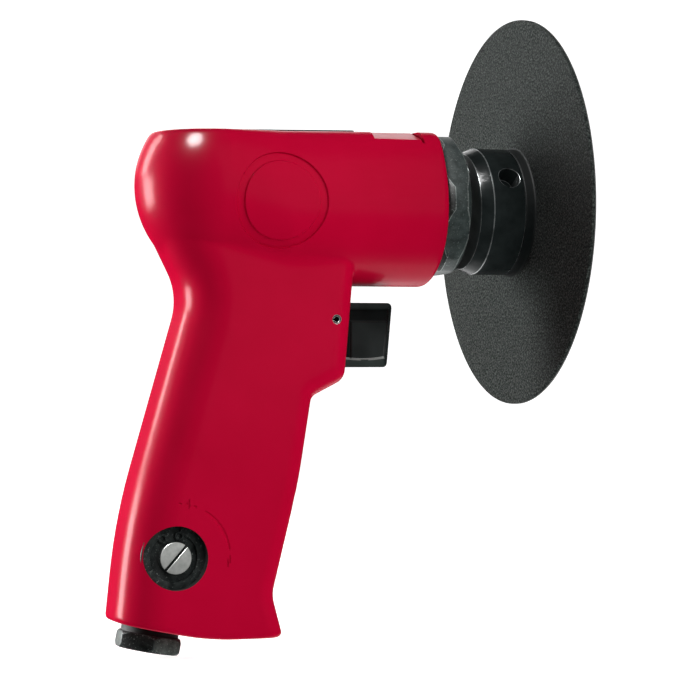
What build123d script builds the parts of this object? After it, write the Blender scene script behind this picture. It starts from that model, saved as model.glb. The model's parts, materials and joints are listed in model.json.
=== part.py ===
from build123d import *
import os
from math import asin, cos, degrees, radians, sin, sqrt, tan

# Pneumatic disc sander with a pistol grip, made as the separate pieces it is assembled from.
# Millimetres. The origin is on the spindle axis at the working face of the pad, +X points
# forward out of the tool, +Z is up and the grip hangs down. The regulator is on the -Y side.

# Fits
running_clearance = 0.05
seat_clearance = 0.02
slide_clearance = 0.3
overshoot = 1.0

# Pad and hub
pad_diameter = 127.0
pad_thickness = 1.1
facing_thickness = 0.3
boss_diameter = 41.6
boss_thickness = 3.5
hub_diameter = 41.6
hub_length = 14.95
hub_taper = 1.9
hub_taper_length = 3.95
spigot_diameter = 16.0
pin_hole_diameter = 7.2
pin_hole_depth = 7.0
pin_hole_angle = 30.0
pin_hole_behind_boss = 4.8

# Spindle and rotor
nose_diameter = 9.5
nose_length = 11.0
thread_run_out = 1.5
spacer_diameter = 18.0
rotor_diameter = 28.6
rotor_end_clearance = 0.2
motor_offset = 1.4
vane_count = 5
vane_thickness = 1.6
vane_depth = 6.6

# Ball bearings
front_bore = 12.0
front_outer = 28.0
front_width = 8.0
front_ball = 4.76
front_ball_count = 8
rear_bore = 8.0
rear_outer = 22.0
rear_width = 7.0
rear_ball = 3.96
rear_ball_count = 7
race_land = 0.46
cage_wall = 1.0
cage_rim = 0.7

# Motor stack
hub_gap = 4.55
nut_hex_length = 8.25
nut_across_flats = 44.0
nut_turn = -3.7
nut_corner_diameter = 47.2
nut_front_chamfer = 1.6
nut_front_chamfer_length = 1.8
nut_back_chamfer = 1.3
nut_back_chamfer_length = 2.0
nut_thread_length = 11.35
nut_bore_gap = 0.6
seal_thickness = 3.0
seal_gap = 0.2
plate_web = 2.0
shaft_shoulder = 1.0
cylinder_length = 46.0
cylinder_wall = 4.4
rotor_wall_gap = 0.3
dowel_diameter = 2.5
dowel_depth = 4.0
gasket_thickness = 0.8
gasket_width = 6.0
exhaust_port_diameter = 5.0
exhaust_port_spacing = 8.0
exhaust_port_count = 3

# Barrel: cross sections at the front, where the dome runs in, and at the axis of the dome
barrel_half = 24.5
barrel_belly = 0.5
barrel_crown = 11.5
barrel_shoulder_round = 8.0
barrel_top = 24.8
barrel_top_slope = 1.08
keel_turn = 74.0
dome_behind_bore = 7.85
dome_run_in = 20.0
dome_waist = 6.6
dome_belly = 7.5
dome_crown = 4.6
dome_shoulder_round = 2.5
dome_side_end = -20.0
dome_bottom = -21.5
front_edge_round = 2.0

# Grip outline in side view, measured from the axis of the rear dome and from the spindle axis
face_top = (44.65, -5.0)
face_bottom = (40.25, -54.9)
step_bottom = (29.15, -60.5)
front_middle = (24.75, -88.0)
toe_waist = (16.1, -122.8)
toe = (19.7, -136.2)
base_middle = (-5.05, -136.2)
heel = (-33.35, -130.5)
back_middle = (-30.15, -99.4)
throat = (-9.45, -28.2)
back_top = (-18.55, -10.0)
face_corner_round = 5.0
step_round = 2.5
front_round = 200.0
waist_round = 10.0
base_round = 90.0
back_round = 190.0
throat_round = 20.0
grip_width = 36.0
grip_back_round = 14.0
grip_front_round = 6.0
blend_round = 9.0
blend_end_round = 4.0
blend_run_out = 12.0
blend_overlap = 2.0
base_edge_round = 1.5

# Trigger and its pin
trigger_width = 15.0
trigger_top = -30.4
trigger_bottom = -51.2
trigger_reach = 16.75
trigger_lean = 1.9
trigger_depth = 12.0
trigger_travel = 4.0
trigger_edge_round = 2.0
panel_depth = 0.5
panel_margin = 1.5
panel_top = -36.4
panel_bottom = -48.0
panel_length = 13.5
panel_sag = 0.6
recess_depth = 1.3
recess_top = -32.4
trigger_pin_diameter = 3.0
trigger_pin_bore = 1.7
trigger_pin_slit = 0.5
trigger_pin_inset = 0.15
pin_behind_face = 5.4
pin_above_middle = 4.9

# Throttle valve
valve_below_middle = 3.0
valve_bore_diameter = 12.0
bushing_length = 17.0
bushing_guide = 4.0
bushing_bore = 6.8
stem_diameter = 3.0
stem_head_diameter = 8.0
stem_head_thickness = 2.2
spring_spigot_diameter = 5.0
spring_spigot_length = 2.0
valve_seal_diameter = 9.0
valve_seal_thickness = 2.2
stem_ring_wire = 1.0
spring_space = 13.2
spring_wire = 0.8
spring_diameter = 6.6
spring_turns = 6
supply_diameter = 5.0

# Air inlet, on an axis that leans with the grip
inlet_from_dome = -20.05
inlet_seat = -133.3
inlet_tilt = 10.5
inlet_hex = 19.05
inlet_hex_length = 5.3
inlet_hex_turn = 25.0
inlet_hex_chamfer = 1.1
inlet_shank_diameter = 16.0
inlet_shank_length = 12.0
inlet_thread_diameter = 11.4
inlet_thread_length = 14.0
inlet_seal_thickness = 1.9
inlet_seal_diameter = 18.4
inlet_spot_diameter = 22.4
screen_diameter = 10.4
screen_thickness = 1.0
screen_hole = 1.3
screen_pitch = 2.2
screen_rows = 3
passage_diameter = 8.4

# Speed regulator, across the inlet passage
regulator_height = 23.5
regulator_aside = -0.55
regulator_bore = 20.0
regulator_reach = 9.0
regulator_nose = 10.0
nose_inset = 1.2
driver_slot_width = 0.8
driver_slot_depth = 1.2
driver_slot_turn = 48.0
ring_inset = 3.8
ring_thickness = 1.0
ring_groove = 0.7
ring_width = 3.0
ring_gap_turn = 7.6
ring_lug_turn = 23.0
ring_lug_radius = 1.5
ring_lug_hole = 1.6
regulator_ring_wire = 1.6
regulator_ring_place = 9.0

# Exhaust in the base of the grip
exhaust_from_dome = 4.95
exhaust_length = 16.0
exhaust_width = 24.0
exhaust_corner = 5.0
exhaust_depth = 14.0
deflector_inset = 0.8
deflector_thickness = 3.0
deflector_slot_width = 1.8
deflector_slot_length = 10.0
deflector_slot_pitch = 4.0
deflector_slot_count = 5
felt_thickness = 8.0
duct_diameter = 7.0
duct_side = 12.0
gallery_z = -16.0
gallery_length = 22.0

# Plate and flat on top, and the round seat on the side
top_plate_behind_front = 27.35
top_plate_length = 43.5
top_plate_width = 20.4
top_plate_thickness = 1.0
top_plate_recess = 0.5
top_plate_corner = 1.5
flat_behind_front = 6.35
flat_length = 16.9
flat_tilt = 16.3
flat_depth = 1.5
seat_ring_behind_front = 56.15
seat_ring_height = 1.2
seat_ring_diameter = 29.2
seat_ring_width = 3.2
seat_ring_depth = 0.5

# Places along the spindle, from the pad back to the dome
pad_back_x = -facing_thickness - pad_thickness
boss_back_x = pad_back_x - boss_thickness
hub_back_x = boss_back_x - hub_length
nut_front_x = hub_back_x - hub_gap
housing_front_x = nut_front_x - nut_hex_length
front_plate_x = housing_front_x - nut_thread_length
front_bearing_x = front_plate_x - seal_thickness
front_web_x = front_bearing_x - front_width
cylinder_front_x = front_web_x - plate_web
cylinder_back_x = cylinder_front_x - cylinder_length
rear_bearing_x = cylinder_back_x - plate_web
rear_plate_x = rear_bearing_x - rear_width
bore_end_x = rear_plate_x - gasket_thickness
dome_x = bore_end_x + dome_behind_bore

# Radii of the barrel
barrel_lower_round = barrel_half + barrel_belly
barrel_upper_round = barrel_half + barrel_crown
barrel_side_end = -barrel_lower_round * sin(radians(keel_turn))
barrel_bottom = -barrel_lower_round
dome_lower_round = barrel_half + dome_belly
dome_upper_round = barrel_half + dome_crown

# Radii of the motor
hub_radius = hub_diameter / 2
spacer_radius = spacer_diameter / 2
rotor_radius = rotor_diameter / 2
cylinder_radius = rotor_radius + motor_offset + rotor_wall_gap
motor_radius = cylinder_radius + cylinder_wall
motor_bore_radius = motor_radius + running_clearance
dowel_z = motor_offset + cylinder_radius + cylinder_wall / 2

# Places of the trigger and the throttle valve
grip_half = grip_width / 2
trigger_middle = (trigger_top + trigger_bottom) / 2
face_slope = (face_top[0] - face_bottom[0]) / (face_top[1] - face_bottom[1])
face_x = dome_x + face_bottom[0] + face_slope * (trigger_middle - face_bottom[1])
trigger_front_x = face_x + trigger_reach
trigger_back_x = face_x - trigger_depth
pocket_back_x = trigger_back_x - trigger_travel - slide_clearance
trigger_pin_x = face_x - pin_behind_face
trigger_pin_z = trigger_middle + pin_above_middle
trigger_pin_radius = trigger_pin_diameter / 2
valve_z = trigger_middle - valve_below_middle
valve_seat_x = pocket_back_x - bushing_length
stem_head_x = valve_seat_x - running_clearance - valve_seal_thickness
spring_front_x = stem_head_x - stem_head_thickness
spring_back_x = spring_front_x - spring_space
supply_x = valve_seat_x + (bushing_length - bushing_guide) / 2

# Frames of the inlet and of the regulator
inlet_up = Vector(sin(radians(inlet_tilt)), 0, cos(radians(inlet_tilt)))
inlet_origin = Vector(dome_x + inlet_from_dome, 0, inlet_seat)
inlet_mouth = -inlet_seal_thickness - inlet_hex_length
regulator_centre = inlet_origin + inlet_up * regulator_height + Vector(regulator_aside, 0, 0)
regulator_radius = regulator_bore / 2
ring_y = -grip_half + ring_inset
plug_y = ring_y + ring_thickness + seat_clearance

# Plane of the flat along the top of the barrel, and the exhaust in the base
top_fall = tan(radians(barrel_top_slope))
top_along = Vector(cos(radians(barrel_top_slope)), 0, sin(radians(barrel_top_slope)))
top_up = Vector(-top_along.Z, 0, top_along.X)
top_plane = Plane(origin=(housing_front_x, 0, barrel_top), x_dir=top_along, z_dir=top_up)
exhaust_x = dome_x + exhaust_from_dome
base_x = dome_x + (toe[0] + heel[0]) / 2
base_length = toe[0] - heel[0]
base_z = toe[1]
exhaust_top = base_z + deflector_inset + deflector_thickness + exhaust_depth


def bar(x_from, x_to, radius, z=0.0):
    """Round bar along X."""
    plane = Plane(origin=(x_from, 0, z), x_dir=(0, 1, 0), z_dir=(1, 0, 0))
    return extrude(plane * Circle(radius), amount=x_to - x_from)


def ring(x_from, x_to, outer, inner, z=0.0):
    """Round ring about an axis along X."""
    return bar(x_from, x_to, outer, z) - bar(x_from, x_to, inner, z)


def cross_bar(y_from, y_to, radius, x, z):
    """Round bar along Y."""
    plane = Plane(origin=(x, y_from, z), x_dir=(1, 0, 0), z_dir=(0, 1, 0))
    return extrude(plane * Circle(radius), amount=y_to - y_from)


def post(x, z_from, z_to, radius):
    """Round bar along Z, on the middle plane of the tool."""
    return extrude(Plane(origin=(x, 0, z_from)) * Circle(radius), amount=z_to - z_from)


def inlet_plane(depth):
    """Plane across the inlet axis, so far up into the grip."""
    across = (inlet_up.Z, 0, -inlet_up.X)
    return Plane(origin=inlet_origin + inlet_up * depth, x_dir=across, z_dir=inlet_up)


def inlet_bar(depth_from, depth_to, radius):
    """Round bar along the inlet axis."""
    return extrude(inlet_plane(depth_from) * Circle(radius), amount=depth_to - depth_from)


def block(x_from, x_to, width, z_from, z_to):
    """Box that is centred on the middle plane of the tool."""
    middle = Pos((x_from + x_to) / 2, 0, (z_from + z_to) / 2)
    return middle * Box(x_to - x_from, width, z_to - z_from)


def turned(profile, z=0.0):
    """Turned piece about an axis along X, from (x, radius) corners."""
    outline = Polyline([(x, 0, z + radius) for x, radius in profile], close=True)
    return revolve(make_face(outline), Axis((0, 0, z), (1, 0, 0)))


def round_wire(major, minor, x=0.0, y=0.0, z=0.0, along_y=False):
    """Ring of round wire, such as an O-ring, about an axis along X or Y."""
    turn = Rot(90, 0, 0) if along_y else Rot(0, 90, 0)
    return Pos(x, y, z) * turn * Torus(major, minor)


def around_spindle(piece, count):
    """Copies of a piece, evenly spaced about the spindle."""
    return [piece.rotate(Axis.X, 360 / count * number) for number in range(count)]


# Barrel sections, drawn as the right half and mirrored

def shoulder_centre(half, waist, upper_round, shoulder_round, top):
    """Centre of the round between the side and the flat top, and the turn where it starts."""
    turn = asin((top - shoulder_round - waist) / (upper_round - shoulder_round))
    return half - upper_round + (upper_round - shoulder_round) * cos(turn), top - shoulder_round, turn


def barrel_section(x, half, waist, lower_round, upper_round, shoulder_round, top, side_end, bottom):
    """Section across the spindle: flat on top, rounded shoulders, bulging sides, round below."""
    lower_turn = degrees(asin((waist - side_end) / lower_round))
    shoulder_y, shoulder_z, turn = shoulder_centre(half, waist, upper_round, shoulder_round, top)
    upper_turn = degrees(turn)
    lower = CenterArc((half - lower_round, waist), lower_round, -lower_turn, lower_turn)
    upper = CenterArc((half - upper_round, waist), upper_round, 0, upper_turn)
    shoulder = CenterArc((shoulder_y, shoulder_z), shoulder_round, upper_turn, 90 - upper_turn)
    right = [lower, upper, shoulder]
    left = [mirror(edge, Plane.YZ) for edge in right]
    keel = ThreePointArc(left[0] @ 0, (0, bottom), lower @ 0)
    roof = Line(shoulder @ 1, left[2] @ 1)
    plane = Plane(origin=(x, 0, 0), x_dir=(0, 1, 0), z_dir=(1, 0, 0))
    return plane * make_face([keel, *right, roof, *left])


def barrel_form(inset=0.0):
    """Barrel with its rear dome, which is the last section turned about a vertical axis."""

    def straight_section(x):
        return barrel_section(x, barrel_half - inset, 0, barrel_lower_round - inset,
                              barrel_upper_round - inset, barrel_shoulder_round - inset,
                              barrel_top - inset + top_fall * (x - housing_front_x),
                              barrel_side_end + inset, barrel_bottom + inset)

    dome_section = barrel_section(dome_x, barrel_half - inset, dome_waist, dome_lower_round - inset,
                                  dome_upper_round - inset, dome_shoulder_round - inset,
                                  barrel_top - inset + top_fall * (dome_x - housing_front_x),
                                  dome_side_end + inset, dome_bottom + inset)
    run_in = straight_section(dome_x + dome_run_in)
    straight = loft([straight_section(housing_front_x), run_in], ruled=True)
    run_out = loft([run_in, dome_section], ruled=True)
    half_section = split(dome_section, Plane.XZ, keep=Keep.TOP)
    dome = revolve(half_section, Axis((dome_x, 0, 0), (0, 0, 1)), -180)
    return straight + run_out + dome


def grip_form():
    """Grip from its side view, with its long edges rounded."""
    corners = [face_top, face_bottom, step_bottom, front_middle, toe_waist, toe, base_middle, heel,
               back_middle, throat, back_top]
    rounds = [face_corner_round, step_round, front_round, waist_round, 0, base_round, 0, back_round,
              throat_round]
    side = Plane(origin=(dome_x, 0, 0), x_dir=(1, 0, 0), z_dir=(0, -1, 0))
    outline = FilletPolyline(*corners, radius=rounds)
    face = make_face([*outline.edges(), Line(outline @ 1, outline @ 0)])
    grip = extrude(side * face, amount=grip_half, both=True)

    def on_side(edge):
        return abs(edge.center().Y) > grip_half - seat_clearance and edge.center().Z < throat[1] / 2

    def at_back(edge):
        return edge.center().X < dome_x + throat[0] / 2 and edge.center().Z > heel[1]

    def at_front(edge):
        above_toe = edge.center().Z > (toe[1] + toe_waist[1]) / 2
        return edge.center().X > dome_x + toe_waist[0] / 2 and above_toe

    back_edges = [edge for edge in grip.edges() if on_side(edge) and at_back(edge)]
    grip = fillet(back_edges, grip_back_round)
    front_edges = [edge for edge in grip.edges() if on_side(edge) and at_front(edge)]
    return fillet(front_edges, grip_front_round)


def blend_section(x, waist, lower_round, round_here):
    """Section of the hollow blend between the side of the grip and the underside of the barrel."""
    wall = grip_half - seat_clearance
    lower_round -= seat_clearance
    centre_y = barrel_half - seat_clearance - lower_round
    reach = wall + round_here - centre_y
    blend_z = waist - sqrt((lower_round + round_here) ** 2 - reach ** 2)
    share = lower_round / (lower_round + round_here)
    touch = (centre_y + reach * share, waist + (blend_z - waist) * share)
    middle = Vector((wall + touch[0]) / 2 - wall - round_here, (touch[1] - blend_z) / 2).normalized()
    hollow = ThreePointArc((wall, blend_z), Vector(wall + round_here, blend_z) + middle * round_here, touch)
    inner = wall - blend_overlap
    rest = Polyline(touch, (inner, touch[1]), (inner, blend_z), (wall, blend_z))
    plane = Plane(origin=(x, 0, 0), x_dir=(0, 1, 0), z_dir=(1, 0, 0))
    return plane * make_face([hollow, *rest.edges()])


def side_blend():
    """Hollow blend along one side of the grip, running out towards the face and the dome."""
    front_x = dome_x + face_top[0] - grip_front_round
    stations = [(front_x, 0, barrel_lower_round, blend_end_round),
                (front_x - blend_run_out, 0, barrel_lower_round, blend_round),
                (dome_x + dome_run_in, 0, barrel_lower_round, blend_round),
                (dome_x, dome_waist, dome_lower_round, blend_end_round)]
    return loft([blend_section(*station) for station in stations], ruled=True)


def housing_form():
    """Outside of the cast housing: barrel and grip, blended where they meet."""
    blend = side_blend()
    body = barrel_form() + grip_form() + blend + mirror(blend, Plane.XZ)
    front_rim = body.edges().filter_by_position(Axis.X, housing_front_x, housing_front_x + overshoot)
    body = fillet(front_rim, front_edge_round)

    def round_the_base(edge):
        box = edge.bounding_box()
        seam = box.size.X < seat_clearance and abs(box.center().X - base_x) < base_length / 2 - overshoot
        return box.max.Z < heel[1] + seat_clearance and not seam

    return fillet(body.edges().filter_by(round_the_base), base_edge_round)


def side_seat():
    """Groove round the plain circular seat on the side of the barrel."""
    x = housing_front_x - seat_ring_behind_front
    outer = (seat_ring_diameter + seat_ring_width) / 2
    reach = -barrel_half - overshoot
    disc = cross_bar(reach, 0, outer, x, seat_ring_height)
    disc -= cross_bar(reach, 0, outer - seat_ring_width, x, seat_ring_height)
    return disc - barrel_form(seat_ring_depth)


def shoulder_flat():
    """Cutter for the short flat on the front of the near shoulder."""
    y, z, _ = shoulder_centre(barrel_half, 0, barrel_upper_round, barrel_shoulder_round, barrel_top)
    out = (0, -sin(radians(flat_tilt)), cos(radians(flat_tilt)))
    height = barrel_shoulder_round - flat_depth
    x = housing_front_x - flat_behind_front - flat_length / 2
    plane = Plane(origin=(x, -y + out[1] * height, z + out[2] * height), x_dir=(1, 0, 0), z_dir=out)
    return extrude(plane * Rectangle(flat_length, 2 * barrel_shoulder_round), amount=2 * flat_depth)


def exhaust_plate(z_from, z_to, gap=0.0):
    """Rounded plate of the shape of the exhaust pocket."""
    shape = RectangleRounded(exhaust_length - 2 * gap, exhaust_width - 2 * gap, exhaust_corner)
    return extrude(Plane(origin=(exhaust_x, 0, z_from)) * shape, amount=z_to - z_from)


def exhaust_duct():
    """Duct from the ports of the cylinder down to the pocket in the base."""
    gallery_x = (cylinder_front_x + cylinder_back_x) / 2
    top = Vector(gallery_x, duct_side, gallery_z)
    bottom = Vector(exhaust_x, duct_side - duct_diameter / 2, exhaust_top - running_clearance)
    run = bottom - top
    duct = extrude(Plane(origin=top, z_dir=run) * Circle(duct_diameter / 2), amount=run.length)
    gallery = bar(gallery_x - gallery_length / 2, gallery_x + gallery_length / 2, duct_diameter / 2)
    return duct + Pos(0, duct_side, gallery_z) * gallery


def make_housing():
    body = housing_form()
    body -= bar(bore_end_x, housing_front_x + overshoot, motor_bore_radius, motor_offset)
    body -= block(pocket_back_x, trigger_front_x, trigger_width + 2 * slide_clearance,
                  trigger_bottom - slide_clearance, trigger_top + slide_clearance)
    body -= cross_bar(-grip_width, grip_width, trigger_pin_radius + seat_clearance,
                      trigger_pin_x, trigger_pin_z)
    body -= bar(spring_back_x, pocket_back_x + overshoot, valve_bore_diameter / 2, valve_z)
    body -= post(supply_x, valve_z, motor_offset - cylinder_radius, supply_diameter / 2)
    body -= inlet_bar(-inlet_shank_length, 0, inlet_spot_diameter / 2)
    body -= inlet_bar(-overshoot, inlet_shank_length, inlet_shank_diameter / 2 + seat_clearance)
    body -= inlet_bar(0, (valve_z - inlet_seat) / inlet_up.Z, passage_diameter / 2)
    x, z = regulator_centre.X, regulator_centre.Z
    body -= cross_bar(-grip_width, regulator_reach, regulator_radius, x, z)
    body -= cross_bar(ring_y - seat_clearance, plug_y, regulator_radius + ring_groove, x, z)
    body -= exhaust_plate(base_z - overshoot, exhaust_top)
    body -= exhaust_duct()
    body -= top_plate_form(-top_plate_recess, overshoot, -running_clearance)
    body -= shoulder_flat()
    return body - side_seat()


def top_plate_form(height_from, height_to, gap=0.0):
    """Rounded plate on the flat along the top of the barrel."""
    shape = RectangleRounded(top_plate_length - 2 * gap, top_plate_width - 2 * gap, top_plate_corner)
    middle = Pos(-top_plate_behind_front - top_plate_length / 2, 0, height_from)
    return top_plane * middle * extrude(shape, amount=height_to - height_from)


def make_top_plate():
    return top_plate_form(-top_plate_recess, top_plate_thickness - top_plate_recess)


# Pad and hub

def make_pad_facing():
    return bar(-facing_thickness, 0, pad_diameter / 2)


def make_backing_pad():
    hole = spigot_diameter / 2 + running_clearance
    return turned([(-facing_thickness, hole), (-facing_thickness, pad_diameter / 2),
                   (pad_back_x, pad_diameter / 2), (pad_back_x, boss_diameter / 2),
                   (boss_back_x, boss_diameter / 2), (boss_back_x, hole)])


def make_pad_hub():
    spigot_x = -facing_thickness - running_clearance
    thread_radius = nose_diameter / 2 + running_clearance
    thread_end = hub_back_x + nose_length + thread_run_out
    hub = turned([(hub_back_x, thread_radius), (hub_back_x, hub_radius - hub_taper),
                  (hub_back_x + hub_taper_length, hub_radius), (boss_back_x, hub_radius),
                  (boss_back_x, spigot_diameter / 2), (spigot_x, spigot_diameter / 2),
                  (spigot_x, 0), (thread_end, 0), (thread_end, thread_radius)])
    x = boss_back_x - pin_hole_behind_boss
    hole = Pos(x, 0, hub_radius) * Cylinder(pin_hole_diameter / 2, 2 * pin_hole_depth)
    near = hole.rotate(Axis.X, 90 - pin_hole_angle)
    return hub - near - near.rotate(Axis.X, 180)


# Rotor, vanes and spindle

def make_rotor():
    rear_journal = rear_bore / 2 - seat_clearance
    front_journal = front_bore / 2 - seat_clearance
    rear_shoulder = rear_bore / 2 + shaft_shoulder
    front_shoulder = front_bore / 2 + shaft_shoulder
    rear_x = cylinder_back_x + rotor_end_clearance
    front_x = cylinder_front_x - rotor_end_clearance
    nose_x = hub_back_x + nose_length
    rotor = turned([(rear_plate_x, 0), (rear_plate_x, rear_journal), (rear_bearing_x, rear_journal),
                    (rear_bearing_x, rear_shoulder), (rear_x, rear_shoulder), (rear_x, rotor_radius),
                    (front_x, rotor_radius), (front_x, front_shoulder), (front_web_x, front_shoulder),
                    (front_web_x, front_journal), (hub_back_x, front_journal),
                    (hub_back_x, nose_diameter / 2), (nose_x, nose_diameter / 2), (nose_x, 0)])
    slot = block(rear_x - overshoot, front_x + overshoot, vane_thickness + 2 * running_clearance,
                 rotor_radius - vane_depth, rotor_radius + overshoot)
    for cut in around_spindle(slot, vane_count):
        rotor -= cut
    return rotor


def make_rotor_vanes():
    vane = block(cylinder_back_x + 2 * rotor_end_clearance, cylinder_front_x - 2 * rotor_end_clearance,
                 vane_thickness, rotor_radius - vane_depth + running_clearance,
                 rotor_radius - running_clearance)
    return Compound(around_spindle(vane, vane_count))


def make_spindle_spacer():
    return ring(front_bearing_x, hub_back_x, spacer_radius, front_bore / 2 + seat_clearance)


# Motor stack

def make_motor_cylinder():
    cylinder = ring(cylinder_back_x, cylinder_front_x, motor_radius, cylinder_radius, motor_offset)
    cylinder -= post(supply_x, motor_offset - motor_radius - overshoot, motor_offset, supply_diameter / 2)
    middle_x = (cylinder_back_x + cylinder_front_x) / 2
    towards = Plane(origin=(middle_x, 0, motor_offset), x_dir=(1, 0, 0),
                    z_dir=(0, duct_side, gallery_z - motor_offset))
    places = GridLocations(exhaust_port_spacing, 1, exhaust_port_count, 1)
    ports = Sketch() + places * Circle(exhaust_port_diameter / 2)
    cylinder -= extrude(towards * ports, amount=motor_radius + overshoot)
    return cylinder - dowel_set(running_clearance)


def dowel_set(gap=0.0):
    radius = dowel_diameter / 2 + gap / 2
    reach = dowel_depth + gap
    return Compound([bar(x - reach, x + reach, radius, dowel_z)
                     for x in (cylinder_front_x, cylinder_back_x)])


def make_front_end_plate():
    plate = bar(cylinder_front_x, front_plate_x, motor_radius, motor_offset)
    plate -= bar(front_web_x, front_plate_x, front_outer / 2 + seat_clearance)
    plate -= bar(cylinder_front_x, front_web_x, front_bore / 2 + shaft_shoulder + slide_clearance)
    return plate - dowel_set(running_clearance)


def make_rear_end_plate():
    plate = bar(rear_plate_x, cylinder_back_x, motor_radius, motor_offset)
    plate -= bar(rear_plate_x, rear_bearing_x, rear_outer / 2 + seat_clearance)
    plate -= bar(rear_bearing_x, cylinder_back_x, rear_bore / 2 + shaft_shoulder + slide_clearance)
    return plate - dowel_set(running_clearance)


def make_rear_gasket():
    return ring(bore_end_x, rear_plate_x, motor_radius, motor_radius - gasket_width, motor_offset)


def make_spindle_seal():
    return ring(front_bearing_x, front_plate_x, front_outer / 2, spacer_radius + seal_gap)


def make_clamp_nut():
    plane = Plane(origin=(housing_front_x, 0, motor_offset), x_dir=(0, 1, 0), z_dir=(1, 0, 0))
    corner_radius = nut_corner_diameter / 2
    hexagon = RegularPolygon(nut_across_flats / 2, 6, major_radius=False, rotation=nut_turn)
    head = extrude(plane * hexagon, amount=nut_hex_length)
    head &= turned([(housing_front_x, 0), (housing_front_x, corner_radius - nut_back_chamfer),
                    (housing_front_x + nut_back_chamfer_length, corner_radius),
                    (nut_front_x - nut_front_chamfer_length, corner_radius),
                    (nut_front_x, corner_radius - nut_front_chamfer), (nut_front_x, 0)], motor_offset)
    skirt = ring(front_plate_x, housing_front_x, motor_radius, cylinder_radius, motor_offset)
    bore = spacer_radius + motor_offset + nut_bore_gap
    return head - bar(housing_front_x, nut_front_x, bore, motor_offset) + skirt


# Ball bearings

def bearing(front_x, width, bore, outer, ball, count):
    """Outer race, inner race, ball set and cage of a deep groove ball bearing."""
    back_x = front_x - width
    middle_x = front_x - width / 2
    pitch = (bore + outer) / 4
    land = race_land * ball / 2
    groove = round_wire(pitch, ball / 2 + running_clearance, middle_x)
    outer_race = ring(back_x, front_x, outer / 2, pitch + land) - groove
    inner_race = ring(back_x, front_x, pitch - land, bore / 2) - groove
    balls = around_spindle(Pos(middle_x, 0, pitch) * Sphere(ball / 2), count)
    half = ball / 2 + cage_rim
    cage = ring(middle_x - half, middle_x + half, pitch + cage_wall / 2, pitch - cage_wall / 2)
    pocket = Pos(middle_x, 0, pitch) * Sphere(ball / 2 + 2 * running_clearance)
    for cut in around_spindle(pocket, count):
        cage -= cut
    return {"outer_race": outer_race, "inner_race": inner_race, "balls": Compound(balls), "cage": cage}


# Trigger and throttle valve

def make_trigger():
    front_top = trigger_front_x + trigger_lean / 2
    front_bottom = trigger_front_x - trigger_lean / 2
    side = Plane(origin=(0, 0, 0), x_dir=(1, 0, 0), z_dir=(0, -1, 0))
    outline = Polyline((trigger_back_x, trigger_bottom), (front_bottom, trigger_bottom),
                       (front_top, trigger_top), (trigger_back_x, trigger_top), close=True)
    trigger = extrude(side * make_face(outline), amount=trigger_width / 2, both=True)
    front_face = trigger.faces().sort_by(Axis.X)[-1]
    trigger = fillet(front_face.edges(), trigger_edge_round)
    front = front_bottom - panel_margin
    sag = ThreePointArc((front, panel_bottom), ((front + face_x) / 2, panel_bottom - panel_sag),
                        (face_x, panel_bottom))
    rest = Polyline((face_x, panel_bottom), (pocket_back_x, panel_bottom), (pocket_back_x, recess_top),
                    (front_top - panel_margin, recess_top), (front, panel_bottom))
    recess = extrude(side * make_face([sag, *rest.edges()]), amount=recess_depth)
    panel = block(trigger_front_x - panel_length, trigger_front_x, trigger_width - 2 * panel_depth,
                  trigger_bottom, panel_top)
    for y in (-trigger_width / 2 + recess_depth, trigger_width / 2):
        trigger -= Pos(0, y, 0) * recess - panel
    hole = trigger_pin_radius + slide_clearance / 2
    for x in (trigger_pin_x, trigger_pin_x + trigger_travel):
        trigger -= cross_bar(-trigger_width, trigger_width, hole, x, trigger_pin_z)
    return trigger - block(trigger_pin_x, trigger_pin_x + trigger_travel, 2 * trigger_width,
                           trigger_pin_z - hole, trigger_pin_z + hole)


def make_trigger_pin():
    half = grip_half - trigger_pin_inset
    pin = cross_bar(-half, half, trigger_pin_radius, trigger_pin_x, trigger_pin_z)
    pin -= cross_bar(-half, half, trigger_pin_bore / 2, trigger_pin_x, trigger_pin_z)
    slit_x = trigger_pin_x - trigger_pin_diameter
    return pin - block(slit_x, trigger_pin_x, grip_width, trigger_pin_z - trigger_pin_slit / 2,
                       trigger_pin_z + trigger_pin_slit / 2)


def make_valve_bushing():
    stem_hole = stem_diameter / 2 + running_clearance
    guide_x = pocket_back_x - bushing_guide
    bushing = ring(valve_seat_x, pocket_back_x, valve_bore_diameter / 2 - seat_clearance, stem_hole, valve_z)
    bushing -= bar(valve_seat_x, guide_x, bushing_bore / 2, valve_z)
    bushing -= post(supply_x, valve_z, valve_z + valve_bore_diameter, supply_diameter / 2)
    middle_x = pocket_back_x - bushing_guide / 2
    half = stem_ring_wire / 2 + running_clearance
    return bushing - bar(middle_x - half, middle_x + half, stem_hole + 2 * half, valve_z)


def make_valve_stem_o_ring():
    major = (stem_diameter + stem_ring_wire) / 2 + running_clearance
    return round_wire(major, stem_ring_wire / 2, pocket_back_x - bushing_guide / 2, 0, valve_z)


def make_valve_stem():
    head, stem = stem_head_diameter / 2, stem_diameter / 2
    spigot, spigot_x = spring_spigot_diameter / 2, spring_front_x - spring_spigot_length
    front_x = trigger_back_x - seat_clearance
    return turned([(spigot_x, 0), (spigot_x, spigot), (spring_front_x, spigot), (spring_front_x, head),
                   (stem_head_x, head), (stem_head_x, stem), (front_x, stem), (front_x, 0)], valve_z)


def make_valve_seal():
    return ring(stem_head_x, stem_head_x + valve_seal_thickness, valve_seal_diameter / 2,
                stem_diameter / 2 + seat_clearance, valve_z)


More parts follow.
